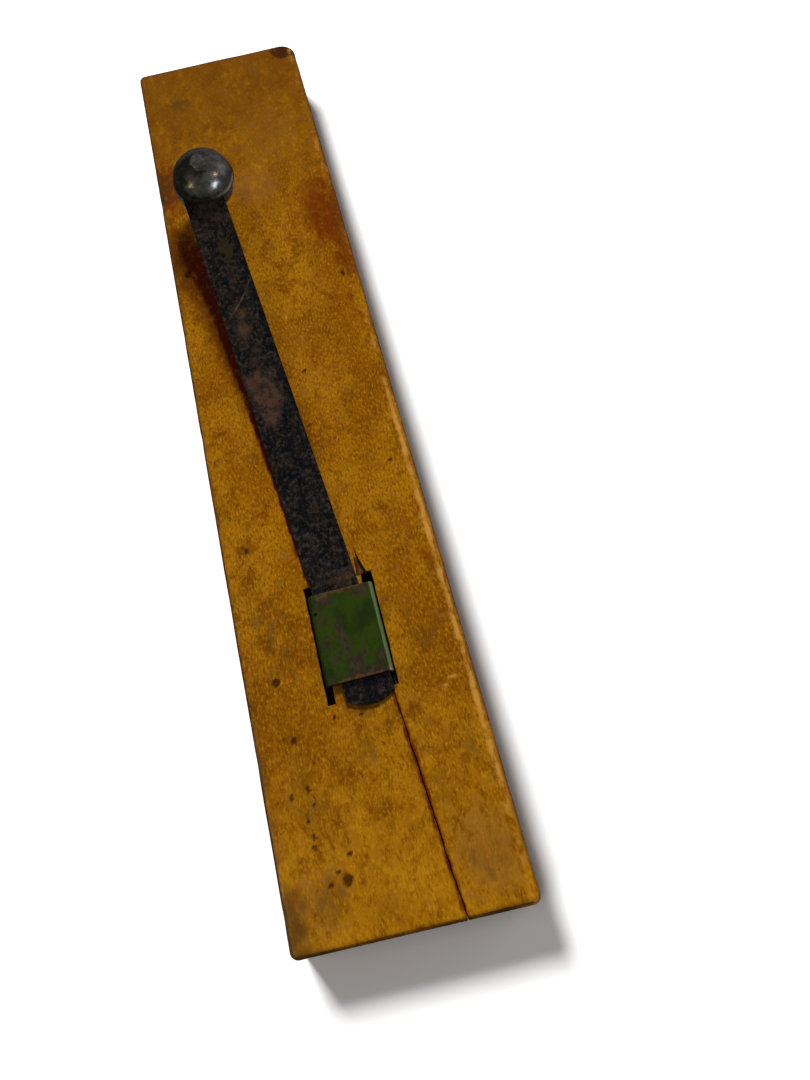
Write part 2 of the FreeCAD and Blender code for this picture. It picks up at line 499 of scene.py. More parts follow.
def worn_green_paint():
    paint = Paint("worn_green_paint")
    cloud = paint.noise((0.22, 0.16, 0.22), detail=4)
    brush = paint.noise((1.3, 0.8, 1.3), detail=3, offset=9)
    grit = paint.noise((6.0, 6.0, 6.0), detail=2, offset=2)
    wear_edge = paint.noise((0.9, 0.55, 0.9), detail=5, roughness=0.65, offset=17)

    green = paint.blend(paint.remap(cloud, 0.38, 0.62), srgb(26, 41, 8), srgb(38, 54, 8))
    green = paint.layer(green, (24, 38, 10), brush, 0.5, 0.68, 0.5)
    green = paint.layer(green, (58, 70, 36), grit, 0.62, 0.72, 0.5)
    primer = paint.blend(paint.remap(brush, 0.4, 0.65), srgb(42, 34, 25), srgb(55, 45, 32))
    primer = paint.layer(primer, (30, 21, 16), grit, 0.58, 0.7, 0.7)

    worn = paint.add(paint.mask("worn"), paint.remap(wear_edge, 0.25, 0.75, -0.45, 0.45))
    worn = paint.remap(worn, 0.1, 0.95)
    colour = paint.blend(worn, green, primer)
    rust = paint.add(paint.mask("rusty_edge"), paint.remap(wear_edge, 0.3, 0.7, -0.35, 0.35))
    colour = paint.layers(colour, [
        ((76, 52, 32), rust, 0.4, 0.75, 0.85),
        ((14, 13, 10), paint.mask("chip"), 0.4, 0.6),
        # Rubbed paint on the right bend and a painted highlight along it.
        ((80, 98, 64), paint.mask("bend_highlight_and_rub"), 0.2, 0.9, 0.9),
    ])
    bare = paint.remap(paint.mask("bare"), 0.35, 0.7)
    colour = paint.blend(bare, colour, srgb(168, 160, 140))

    height = paint.combine("SUBTRACT", paint.remap(brush, 0.3, 0.7, 0, 0.3), worn)
    paint.set(
        Base_Color=colour,
        Roughness=paint.remap(worn, 0, 1, 0.4, 0.5),
        Metallic=paint.remap(bare, 0, 1, 0, 0.9),
        Specular_IOR_Level=0.08,
        Normal=paint.bump(height, 0.02, under=paint.bump(grit, 0.01)),
    )
    return paint.material


def old_spring_steel():
    paint = Paint("old_spring_steel")
    broad = paint.noise((0.16, 0.09, 0.16), detail=4, offset=4)
    mottle = paint.noise((1.15, 0.85, 1.15), detail=4, roughness=0.6, offset=13)
    pit = paint.noise((2.8, 2.4, 2.8), detail=2, offset=21)
    drawn = paint.noise((3.2, 0.12, 3.2), detail=2, offset=27)
    patch = paint.noise((0.42, 0.3, 0.42), detail=6, roughness=0.7, offset=37)
    rusty = paint.add(paint.mask("rust"), paint.remap(patch, 0.25, 0.75, -0.5, 0.5))
    olive = paint.add(paint.mask("olive"), paint.remap(mottle, 0.3, 0.7, -0.35, 0.35))
    blue = paint.add(paint.mask("blue_black"), paint.remap(patch, 0.25, 0.75, 0.55, -0.55))

    colour = paint.blend(paint.remap(broad, 0.35, 0.65), srgb(15, 14, 17), srgb(25, 22, 22))
    colour = paint.layers(colour, [
        ((40, 33, 28), patch, 0.5, 0.66, 0.8),
        ((8, 8, 11), patch, 0.48, 0.36, 0.85),
        ((56, 50, 45), mottle, 0.5, 0.64, 0.9),
        ((7, 7, 10), mottle, 0.48, 0.36, 0.8),
        ((44, 39, 36), drawn, 0.5, 0.7, 0.25),
        ((44, 31, 23), rusty, 0.2, 0.95, 0.85),
        ((70, 49, 36), rusty, 0.75, 1.2, 0.85),
        ((46, 38, 20), olive, 0.35, 0.8, 0.85),
        ((8, 9, 15), blue, 0.45, 0.9, 0.75),
        ((9, 9, 11), pit, 0.6, 0.68, 0.7),
        ((62, 54, 45), pit, 0.38, 0.3, 0.5),
        ((92, 82, 64), paint.mask("scratch"), 0.3, 0.9, 0.45),
        ((96, 58, 34), paint.mask("orange"), 0.3, 0.9, 0.6),
    ])

    rough = paint.remap(mottle, 0.3, 0.7, 0.32, 0.5)
    paint.set(
        Base_Color=colour,
        Roughness=paint.add(rough, paint.remap(rusty, 0.3, 0.8, 0, 0.2)),
        Metallic=paint.remap(rusty, 0.3, 0.8, 0.25, 0.05),
        Specular_IOR_Level=0.15,
        Normal=paint.bump(pit, 0.06, under=paint.bump(mottle, 0.05)),
    )
    return paint.material


def cast_grey_metal(name, metallic, dark_tone, light_tone):
    paint = Paint(name)
    cloud = paint.noise((0.35, 0.35, 0.35), detail=4, offset=6)
    stain = paint.noise((1.1, 1.1, 1.1), detail=4, roughness=0.6, offset=15)
    scuff = paint.noise((3.5, 1.2, 3.5), detail=3, offset=19)

    colour = paint.blend(paint.remap(cloud, 0.35, 0.65), dark_tone, light_tone)
    # Patina, and painted shade on the striker's left side, crown, foot, seam and underside.
    dark = paint.add(paint.mask("patina_and_shade"), paint.remap(stain, 0.3, 0.7, -0.22, 0.22))
    dark = paint.remap(dark, 0.25, 0.95, 0, 0.93)
    colour = paint.blend(dark, colour, srgb(30, 27, 19))
    # A painted highlight on the striker's lip.
    colour = paint.layer(colour, (136, 134, 126), paint.mask("highlight_and_rub"), 0.15, 0.8, 0.9)
    colour = paint.layer(colour, (110, 110, 107), scuff, 0.6, 0.74, 0.25)
    rough = paint.remap(stain, 0.3, 0.7, 0.22, 0.32)
    paint.set(
        Base_Color=colour,
        Roughness=paint.add(rough, paint.remap(dark, 0, 0.85, 0, 0.03)),
        Metallic=metallic,
        Specular_Tint=srgb(84, 84, 82),
        Normal=paint.bump(scuff, 0.006, under=paint.bump(stain, 0.014)),
    )
    return paint.material


def peened_steel():
    paint = Paint("peened_steel")
    stain = paint.noise((1.6, 1.6, 1.6), detail=4, offset=8)
    scuff = paint.noise((5.0, 5.0, 5.0), detail=2, offset=12)
    colour = paint.blend(paint.remap(stain, 0.38, 0.62), srgb(54, 53, 50), srgb(84, 83, 79))
    paint.set(
        Base_Color=colour,
        Roughness=paint.remap(stain, 0.3, 0.7, 0.5, 0.3),
        Metallic=0.4,
        Normal=paint.bump(scuff, 0.02),
    )
    return paint.material


def pale_floor():
    paint = Paint("pale_floor")
    node = paint.nodes.new("ShaderNodeTexNoise")
    node.inputs["Scale"].default_value = 40
    colour = paint.blend(node.outputs["Fac"], srgb(242, 242, 242), srgb(244, 244, 244))
    paint.set(Base_Color=colour, Roughness=0.9, Specular_IOR_Level=0.1)
    return paint.material


# The sounding bar


def grid_lines(half, band, pitch):
    """Places from -half to half, even in the middle and closing up where the edge is rounded."""
    flat = half - band
    middle = np.linspace(-flat, flat, max(2, round(2 * flat / pitch)) + 1)
    edge = flat + band * np.tan(np.linspace(0, math.pi / 4, rim_steps + 1)[1:])
    return np.concatenate([-edge[::-1], middle, edge])


def ease_block(points, half, corner, rim):
    """Rounds a block's upright corners to the radius corner, then its other edges to the radius rim."""
    sign = np.sign(points)
    place = np.abs(points)
    past = place[:, :2] - (half[:2] - corner[:, None])
    reach = past.max(axis=1)
    in_corner = past.min(axis=1) > 0
    x_leads = past[:, 0] >= past[:, 1]
    ratio = past.min(axis=1) / np.maximum(reach, 1e-9)
    turn = np.where(x_leads, math.pi / 4 * ratio, math.pi / 2 - math.pi / 4 * ratio)
    turn = np.where(in_corner, turn, np.where(x_leads, 0, math.pi / 2))
    outwards = np.stack([np.cos(turn), np.sin(turn)], axis=1)

    beyond = reach - (corner - rim)
    core = place[:, :2] - outwards * beyond[:, None]
    corner_core = half[:2] - corner[:, None] + outwards * (corner - rim)[:, None]
    core[in_corner] = corner_core[in_corner]
    above = place[:, 2] - (half[2] - rim)
    on_rim = (beyond > 0) & (above > 0)
    scale = np.where(on_rim, rim / np.maximum(np.hypot(beyond, above), 1e-9), 1)
    plan = core + outwards * (beyond * scale)[:, None]
    height = np.where(above > 0, half[2] - rim + above * scale, place[:, 2])
    return sign * np.column_stack([plan, height])


def dent_rims(points, half):
    """Small knocks along the two long top edges and the corners."""
    random = np.random.default_rng(11)
    for _ in range(34):
        side = random.choice((-1, 1))
        y = random.uniform(-half[1] + 2, half[1] - 2)
        size = random.uniform(0.7, 2.4)
        depth = size * random.uniform(0.04, 0.12)
        distance = np.linalg.norm((points - (side * half[0], y, half[2])) * (1, 0.6, 1), axis=1)
        amount = depth * (1 - ramp(0, size, distance))
        points[:, 0] -= side * amount
        points[:, 2] -= amount


def bar_blank():
    centre = (bar_low + bar_high) / 2
    half = (bar_high - bar_low) / 2
    lines = [grid_lines(half[axis], corner_round, bar_grid[axis]) for axis in range(3)]
    points, faces = box_surface(*lines)
    worn = (points[:, 0] > 0) & (points[:, 1] > 0)
    corner = np.where(worn, worn_corner_round, corner_round)
    rim = edge_round + edge_unevenness * lumps(points, (9, 9, 9), 3)
    sign = np.sign(points)
    on_face = np.abs(points) > half - 1e-6
    points = ease_block(points, half, corner, rim)
    unevenness = 0.03 * (1 + lumps(points, (14, 30, 14), 5)) + 0.012 * (1 + lumps(points, (3, 7, 3), 6))
    points -= sign * on_face * unevenness[:, None]
    dent_rims(points, half)
    near = np.clip((skew_reach - half[1] - points[:, 1]) / skew_reach, 0, 1)
    points[:, 1] += near * near_end_skew * (half[0] - points[:, 0]) / (2 * half[0])
    return new_object("bar_wood", points + centre, faces)


def sawn_cutter(name, low, high, seed):
    """A box with slightly ragged sides."""
    pitch = 0.9
    size = np.array(high) - low
    lines = [np.linspace(0, length, max(2, round(length / pitch)) + 1) for length in size]
    points, faces = box_surface(*lines)
    points += low
    points[:, 0] += 0.09 * lumps(points, (2, 1.6, 5), seed)
    points[:, 1] += 0.12 * lumps(points, (1.2, 2, 5), seed + 1)
    return new_object(name, points, faces)


def split_cutter():
    """A thin crooked wedge down through the wood, from the right slot to the near end."""
    route = np.array(split_route)[::-1]
    along = np.linspace(0, 1, 90)
    levels = np.array([-1, 4, 9, 13, bar_top + 1])
    points, faces = box_surface(np.array([-0.5, 0.5]), along, levels)
    y = route[0, 1] + points[:, 1] * (route[-1, 1] - route[0, 1])
    track = np.column_stack([np.zeros(len(y)), y, points[:, 2]])
    wander = 0.18 * lumps(track, (1, 4.5, 9), 31) + 0.12 * lumps(track, (1, 1.3, 6), 32)
    width = split_width * (0.85 + 0.25 * lumps(track, (1, 3, 6), 33))
    points[:, 0] = np.interp(y, route[:, 1], route[:, 0]) + wander + points[:, 0] * width
    points[:, 1] = y
    return new_object("split", points, faces)


def splinter_cutter():
    """The hollow that a torn splinter left above the right slot, with ridges along the grain."""
    across = np.linspace(0, 1, 9)
    along = np.linspace(0, 1, 12)
    points, faces = box_surface(across, along, np.array([0.0, 1.0]))
    u, v, w = points.T
    start_y = right_slot[1][1] - 0.6
    y = start_y + v * (splinter_tip[1] - start_y)
    left = splinter_mouth[0] + (splinter_tip[0] - 0.05 - splinter_mouth[0]) * v**1.5
    right = splinter_mouth[1] + (splinter_tip[0] + 0.05 - splinter_mouth[1]) * v**0.8
    x = left + u * (right - left)
    spot = np.column_stack([x, y, np.zeros(len(x))])
    x = x + 0.1 * lumps(spot, (1, 1.2, 1), 41)
    depth = splinter_depth * (1 - v) ** 0.7 * (0.55 + 0.45 * u) * (1 + 0.3 * lumps(spot, (0.5, 3, 1), 42))
    z = np.where(w > 0.5, bar_top + 1, bar_top - np.maximum(depth, 0.02))
    return new_object("splinter", np.column_stack([x, y, z]), faces)


def near_edge(x):
    """Y of the near end, which was cut a little out of square."""
    return bar_low[1] + near_end_skew * (0.5 - x / (2 * bar_side))


def top_of_bar(z):
    """1 on the bar's top, fading out a little way down its sides."""
    return ramp(bar_top - 3.5, bar_top - 1.0, z)


def region_masks(piece, points):
    """Depth from the faces, the end grain, the sides, and painted light: the near end lighter, the far end
    darker.
    """
    x, y, z = points.T
    # Depth from the top and bottom faces, which paints shade deep in the slots and the split.
    add_mask(piece, "depth", np.minimum(bar_top - z, z + 0.8) / 4)
    end = ramp(bar_high[1] - 0.9, bar_high[1] - 0.2, y)
    end = np.maximum(end, ramp(-0.7, -0.1, near_edge(x) - y))
    add_mask(piece, "end_grain", end)
    upright = np.maximum(ramp(bar_side - 0.9, bar_side - 0.2, np.abs(x)), end)
    add_mask(piece, "side", upright * ramp(bar_top - 0.3, bar_top - 1.5, z))
    # Painted light falling off along the bar: lighter towards the near end, darker towards the far end.
    add_mask(piece, "lit_near_end", 0.62 * ramp(-60, -125, y))
    add_mask(piece, "dull_shaded_far_end", 0.9 * ramp(25, 128, y))


def stain_masks(piece, points):
    """Hazy varnish with a painted sheen, and old red stain with a painted striker shadow beside the dome."""
    top = top_of_bar(points[:, 2])
    # Hazy, rubbed varnish, and a painted sheen where a broad light would reflect.
    haze_and_sheen = [
        (10, 92, 13, 16, 0.45), (3, 72, 10, 10, 0.85), (-12, 108, 10, 9, 0.25),
        (17, -118, 9, 11, 0.9), (-18, -120, 7, 9, 0.6), (6, 10, 12, 20, 0.25),
        (2.6, 24.1, 1.2, 1.0, 0.9),
    ]
    add_mask(piece, "haze_and_sheen", top * patches(points, haze_and_sheen, 2.0, 51))
    # Old red stain; the patch at x -22.5, y 78, left of the dome, is painted shadow of the striker.
    red = [
        (21.0, 56, 9.0, 18, 0.8), (23.0, 41, 4.5, 14, 0.75), (20.6, 24.7, 1.7, 2.6, 0.6),
        (21.5, -54.3, 2.6, 6, 0.55), (-22.5, 78, 7.5, 15, 0.8), (18, -45, 5, 5, 0.3),
        (-21, 45, 2.2, 4, 0.3),
    ]
    add_mask(piece, "red_stain_and_shade", top * patches(points, red, 1.4, 53))


def shadow_and_rust_masks(piece, points):
    """Rust and painted shadow left of the reed, wider as it rises, a painted soft edge, and rust in the
    split.
    """
    x, y, z = points.T
    top = top_of_bar(z)
    past_mouth = y - clip_high[1]
    reed_edge = reed_mouth.x - past_mouth * math.tan(math.radians(reed_skew)) - reed_width / 2
    height = np.maximum(past_mouth - reed_flat, 0) ** 2 / (2 * bend_radius)
    # Painted shadow: it reaches further out where the reed stands higher, and widens near the striker as its
    # shadow.
    reach = 0.7 + 0.55 * height + 1.6 * ramp(34, 48, y)
    beside = (reed_edge - x) / reach
    shadow_and_rust = ramp(-0.6, -0.1, beside) * (1 - ramp(0.75, 1.1, beside))
    shadow_and_rust *= ramp(-57, -50, y) * (1 - ramp(50, 66, y + 0.2 * (x + 18.5) ** 2))
    # A painted soft shadow edge further out beside it.
    soft_shadow = ramp(0.2, 1.0, beside) * (1 - ramp(1.1, 2.9, beside)) * ramp(-30, 20, y)
    soft_shadow *= 1 - ramp(60, 72, y)
    # Rust stain along the split.
    route_x, route_y = np.array(split_route)[::-1].T
    from_split = np.abs(x - np.interp(y, route_y, route_x))
    stained = (1 - ramp(0.3, 0.9, from_split)) * (1 - ramp(-83, -80, y))
    add_mask(piece, "reed_shadow_and_rust", np.maximum(top * shadow_and_rust, 0.9 * stained))
    add_mask(piece, "reed_soft_shadow", 0.95 * top * soft_shadow)


def grime_and_shade_mask(piece, points):
    """Greasy dirt in patches and along the far end and the long edges, and painted striker shadow left of
    the dome.
    """
    x, y, z = points.T
    # The first patch, left of the dome, is painted shadow of the striker.
    grime_and_shade = [
        (-24, 79, 4.5, 11, 1.0), (23.5, 50, 2.5, 12, 0.6), (-14.7, 113, 5, 4, 0.6),
        (0.2, 120.6, 5, 3, 0.5), (-18.7, 95.5, 2, 2, 0.6), (10, 117, 9, 5, 0.3),
        (15.1, 54.6, 1.3, 1.8, 0.7), (16, -70, 7, 6, 0.42), (17, -120, 6, 6, 0.45),
        (-15, -119, 6, 6, 0.5), (-13.5, -66, 4, 9, 0.4),
        (-18.9, -41.4, 1.5, 1.5, 0.8), (-16, -100, 4, 12, 0.35), (-21.8, 17, 1.4, 1.4, 0.7),
        (22, 32, 1.4, 3.5, 0.5), (3, -86, 6, 2, 0.5), (-2, -93, 5, 4, 0.4), (-24, -122, 5, 9, 1.0),
        (-25, -92, 2.6, 40, 0.55), (-16, -62, 7, 12, 0.45), (12, -104, 5, 4, 0.4), (20, -96, 3, 5, 0.4),
        (-4, -124, 7, 4, 0.4), (9, -62, 2, 7, 0.5),
    ]
    far_end = ramp(bar_high[1] - 2.2, bar_high[1] - 0.5, y)
    long_edges = ramp(bar_side - 1.1, bar_side - 0.3, np.abs(x))
    spots = top_of_bar(z) * patches(points, grime_and_shade, 1.6, 55)
    add_mask(piece, "grime_and_shade", np.maximum(spots, 0.75 * np.maximum(far_end, long_edges)))


def dark_rim(points):
    """The top's dark outline, uneven along its length: dirt, and wider on the left as painted shade on its
    rounding.
    """
    x, y, z = points.T
    # The left edge's band is wider: painted shade on the rounding that faces away from the light.
    rim = np.maximum(ramp(bar_side - 0.9, bar_side - 0.2, -x), ramp(bar_side - 0.5, bar_side - 0.1, x))
    rim = np.maximum(rim, ramp(bar_high[1] - 1.3, bar_high[1] - 0.4, y))
    rim = np.maximum(rim, 1 - ramp(0.3, 1.1, y - near_edge(x)))
    return rim * (0.75 + 0.45 * lumps(points, (6, 6, 6), 60)) * (z > bar_top - 2.5)


def dark_mark_mask(piece, points):
    """Small knocks and burns, fainter ones scattered between them, and the dark rim."""
    dark = [
        (21.9, 127.0, 4.3, 3.9, 1.2), (-20.6, 45, 1.0, 1.2, 0.8), (4.3, 4.6, 0.9, 0.7, 0.8),
        (2.1, -11.9, 0.6, 0.7, 0.8), (19.5, -27.3, 0.6, 0.8, 0.7), (-18.9, -41.4, 0.7, 0.8, 0.7),
        (-16.4, -87.2, 0.8, 0.9, 0.75), (-19, -98.7, 0.9, 0.9, 0.7), (-16.5, -104.2, 0.7, 0.8, 0.7),
        (-16, -107.2, 0.7, 0.7, 0.7), (-16.5, -109.2, 0.7, 0.7, 0.6), (-11, -116.7, 1.3, 1.3, 0.8),
        (-14.5, -116.7, 0.8, 0.8, 0.7), (-1, -85.5, 0.7, 0.5, 0.7), (2.5, -85.0, 0.7, 0.5, 0.7),
        (20.9, 33, 0.8, 1.6, 0.6), (-7, -84.2, 0.25, 1.8, 0.8), (-17.6, -74, 1.2, 1.0, 0.7),
        (-10, -112, 0.6, 0.8, 0.6), (-13, -93, 0.5, 0.7, 0.6), (-18.4, -86.3, 0.5, 0.6, 0.7),
        (-15.2, -97.5, 0.6, 1.0, 0.7), (-14.6, -101, 0.5, 0.8, 0.6), (-12.5, -115, 0.7, 0.6, 0.7),
    ]
    random = np.random.default_rng(61)
    ranges = [(-23, 23), (-127, 127), (0.35, 0.7), (0.4, 1.0), (0.12, 0.34)]
    for _ in range(30):
        dark.append([random.uniform(low, high) for low, high in ranges])
    spots = 1.7 * top_of_bar(points[:, 2]) * patches(points, dark, 0.5, 57)
    add_mask(piece, "dark_mark", np.maximum(spots, 0.85 * dark_rim(points)))


def pale_wear_and_highlight_mask(piece, points):
    """Rubbed varnish beside the slots and in two scratches, and a line inside the right edge: wear and
    painted highlight.
    """
    x, y, z = points.T
    pale = [
        (5.1, -53, 0.45, 4.2, 0.9), (-5.2, -80.5, 0.5, 1.8, 0.7), (2.6, 24.1, 0.6, 0.5, 0.9),
        (18.5, -82.6, 3.6, 0.22, 0.6), (18.5, -83.7, 3.6, 0.22, 0.6),
    ]
    slope = 0.08 * (x - 18)
    spots = patches(points - np.outer(slope, (0, 1, 0)), pale, 0.3, 58)
    # The right-edge line is worn varnish and a painted highlight along the edge that faces the lights.
    line = ramp(22.4, 23.1, x) * (1 - ramp(23.7, 24.3, x)) * (1 - 0.5 * ramp(-20, 30, y))
    line *= 0.5 + 0.5 * lumps(points, (3, 6, 3), 59)
    add_mask(piece, "pale_wear_and_highlight", top_of_bar(z) * np.maximum(spots, line))


def wood_masks(piece):
    points = places(piece)
    add_rest_places(piece, points)
    for add_masks in (region_masks, stain_masks, shadow_and_rust_masks, grime_and_shade_mask, dark_mark_mask, pale_wear_and_highlight_mask):
        add_masks(piece, points)


def sounding_bar():
    bar = bar_blank()
    bottom, top = -1, bar_top + 1
    margin = 0.1
    rebate_low = (left_slot[0][0] - margin, left_slot[0][1] - margin, bottom)
    rebate_high = (right_slot[1][0] + margin, right_slot[1][1] + margin, rebate_depth)
    cutters = [
        sawn_cutter("left_slot", (*left_slot[0], bottom), (*left_slot[1], top), 21),
        sawn_cutter("right_slot", (*right_slot[0], bottom), (*right_slot[1], top), 23),
        sawn_cutter("rebate", rebate_low, rebate_high, 25),
        split_cutter(),
        splinter_cutter(),
    ]
    cut(bar, cutters)
    wood_masks(bar)
    bar.data.materials.append(varnished_wood())
    bar.data.materials.append(torn_wood())
    skin = 0.3
    for face in bar.data.polygons:
        x, y, z = np.array(face.center) / MM
        is_inside = skin < z < bar_top - skin and abs(x) < bar_side - 2
        if is_inside and near_edge(x) + 0.5 < y < splinter_tip[1] + 1:
            face.material_index = 1
    smooth_shade(bar, 38)
    return bar


# The clip


def arc_path(centre, start, end, radius, steps):
    """Points round a bend with their outward directions. Angles are in degrees."""
    path = []
    for angle in np.radians(np.linspace(start, end, steps)):
        outwards = np.array((math.cos(angle), math.sin(angle)))
        path.append((np.array(centre) + radius * outwards, outwards))
    return path


def straight_path(start, end, outwards, pitch):
    start, end = np.array(start), np.array(end)
    shares = np.linspace(0, 1, max(2, round(math.dist(start, end) / pitch)) + 1)
    return [(start + (end - start) * share, np.array(outwards)) for share in shares]


def clip_path():
    """The outside of the folded sheet in X and Z, from the end of one tab to the end of the other."""
    left, _, bottom = clip_low
    right, _, top = clip_high
    low, high = lower_bend, upper_bend
    path = straight_path((left + tab_length, bottom), (left + low, bottom), (0, -1), 0.6)[:-1]
    path += arc_path((left + low, bottom + low), 270, 180, low, 7)
    path += straight_path((left, bottom + low), (left, top - high), (-1, 0), 0.7)[1:-1]
    path += arc_path((left + high, top - high), 180, 90, high, 10)
    path += straight_path((left + high, top), (right - high, top), (0, 1), 0.28)[1:-1]
    path += arc_path((right - high, top - high), 90, 0, high, 10)
    path += straight_path((right, top - high), (right, bottom + low), (1, 0), 0.7)[1:-1]
    path += arc_path((right - low, bottom + low), 0, -90, low, 7)
    path += straight_path((right - low, bottom), (right - tab_length, bottom), (0, -1), 0.6)[1:]
    return path


def reed_clip():
    outer = np.array([place for place, _ in clip_path()])
    outwards = np.array([direction for _, direction in clip_path()])
    inner = outer - outwards * sheet
    section = np.concatenate([outer, inner[::-1]])
    normals = np.concatenate([outwards, outwards[::-1]])
    rows = np.linspace(clip_low[1] + 0.05, clip_high[1] - 0.05, 72)
    rings = []
    for y in rows:
        ring = np.column_stack([section[:, 0], np.full(len(section), y), section[:, 1]])
        ends = 0.05 * lumps(ring, (2.5, 40, 40), 71)
        ring[:, 1] += ends
        dent = 0.028 * (lumps(ring, (4, 5, 4), 72) - 1) + 0.01 * (lumps(ring, (1.2, 1.2, 1.2), 73) - 1)
        outside = np.arange(len(section)) < len(outer)
        ring[:, [0, 2]] += normals * (dent * outside)[:, None]
        rings.append(ring)
    points, faces = swept(np.array(rings))
    clip = new_object("clip_sheet", points, faces)
    clean(clip)
    ease_edges(clip, 0.1)
    clip_masks(clip)
    clip.data.materials.append(worn_green_paint())
    smooth_shade(clip, 50)
    return clip


def clip_masks(piece):
    points = places(piece)
    x, y, z = points.T
    top = ramp(clip_high[2] - 1.4, clip_high[2] - 0.4, z)
    add_rest_places(piece, points)

    worn = [
        (-4.6, -62.5, 1.8, 2.6, 0.5), (-1.6, -66.5, 1.3, 3.5, 0.9), (-0.9, -70.5, 1.2, 3.5, 0.9),
        (0.3, -74.5, 2.2, 2.6, 0.85), (2.5, -77.3, 7.0, 1.9, 0.95), (6.2, -74.6, 1.3, 2.6, 0.7),
        (2.6, -72.6, 0.7, 2.0, 0.6), (-3.8, -59.2, 2.2, 1.6, 0.9), (5.0, -58.6, 2.6, 2.2, 0.75),
        (0, -57.4, 7.5, 0.9, 0.7), (-5.0, -68.5, 1.0, 3.2, 0.55), (-3.5, -72.5, 1.3, 2.4, 0.5),
        (-6.3, -77.6, 2.0, 1.0, 0.6),
    ]
    worn_top = 0.95 * patches(points, worn, 0.7, 75) * top + 0.12
    edges = ramp(-0.6, 0.0, clip_low[1] - y) + ramp(-0.5, 0.0, y - clip_high[1])
    inside = 0.25 * (z < clip_high[2] - 3)
    add_mask(piece, "worn", np.maximum(worn_top, np.maximum(edges, inside)))

    # The right bend: paint rubbed paler, and a painted highlight where the bend catches the light.
    right = clip_high[0]
    highlight_and_rub = ramp(right - 1.05, right - 0.75, x) * (1 - ramp(right - 0.25, right - 0.05, x))
    highlight_and_rub *= (z > clip_high[2] - 2) * (0.85 + 0.3 * lumps(points, (1, 3, 1), 76))
    add_mask(piece, "bend_highlight_and_rub", highlight_and_rub)
    rusty = [(0, -57.1, 8, 0.8, 0.8), (-4, -57.8, 2.5, 0.9, 0.8), (1, -78.0, 8, 0.8, 0.75)]
    add_mask(piece, "rusty_edge", np.maximum(patches(points, rusty, 0.4, 77) * top, 0.5 * (1 - top)))
    chips = [(-6.1, -61.6, 0.55, 0.6, 1.0), (-5.3, -74.8, 0.3, 0.3, 0.8)]
    add_mask(piece, "chip", top * patches(points, chips, 0.2, 78))
    bare = [(7.5, -77.9, 0.5, 0.5, 1.0), (-1.5, -63, 0.2, 0.2, 0.4)]
    add_mask(piece, "bare", patches(points, bare, 0.2, 79))


# The reed


def reed_line(s, offset):
    """Y and Z of the reed's side view at distance s past the clip's mouth, raised by offset."""
    angle = np.clip((s - reed_flat) / bend_radius, 0, reed_rise)
    before = np.minimum(s, reed_flat)
    after = np.maximum(s - reed_flat - reed_bent, 0)
    y = before + (bend_radius - offset) * np.sin(angle) + after * np.cos(angle)
    z = bend_radius - (bend_radius - offset) * np.cos(angle) + after * np.sin(angle)
    return y, z


def reed_strip():
    side = reed_width / 2
    turn = math.pi / 2 * reed_edge_crowding
    across = side * np.sin(np.linspace(-turn, turn, 45)) / math.sin(turn)
    tail_ends = (-reed_tail_left, -reed_tail_tip, -reed_tail_right)
    tail = np.polyval(np.polyfit((-side, 0, side), tail_ends, 2), across)
    seat = reed_flat + reed_bent + reed_seat
    tip = seat + reed_end - side + np.sqrt(np.maximum(side**2 - across**2, 0.04))
    along = np.linspace(0, 1, 330)
    points, faces = box_surface(across, along, np.array([0.0, reed_thickness]))
    x = points[:, 0]
    low = np.interp(x, across, tail)
    high = np.interp(x, across, tip)
    s = low + points[:, 1] * (high - low)
    free = ramp(4, 30, s) * (1 - ramp(100, 112, s))
    spot = np.column_stack([x, s, np.zeros(len(x))])
    waver = free * (0.05 * lumps(spot, (6, 16, 1), 81) + 0.02 * lumps(spot, (3, 5, 1), 82))
    y, z = reed_line(s, points[:, 2])
    ragged = 1 + free * 0.006 * lumps(spot, (4, 5, 1), 83) * (np.abs(x) > 0.9 * side)
    shaped = np.column_stack([x * ragged, y, z + waver])
    reed = new_object("reed_steel", moved(shaped, reed_place), faces)
    bore, bore_faces = turned([(0.0001, -5), (bore_radius, -5), (bore_radius, 5), (0.0001, 5)], 40)
    bore_cutter = new_object("bore", moved(bore, striker_place), bore_faces)
    clean(bore_cutter)
    cut(reed, [bore_cutter])
    ease_edges(reed, 0.09)
    reed_masks(reed)
    reed.data.materials.append(old_spring_steel())
    smooth_shade(reed, 50)
    return reed


def scratch_mask(strip):
    """A bowed scratch across the reed."""
    start, end = np.array((4.8, 89.8)), np.array((-4.4, 79.3))
    travel = np.clip((strip[:, :2] - start) @ (end - start) / np.sum((end - start) ** 2), 0, 1)
    bow = 0.5 * np.sin(travel * math.pi)
    nearest = start + travel[:, None] * (end - start) + np.outer(bow, (0.7, -0.7))
    distance = np.linalg.norm(strip[:, :2] - nearest, axis=1)
    return (1 - ramp(0.1, 0.5, distance)) * (0.75 + 0.35 * lumps(strip, (1, 2, 1), 97))


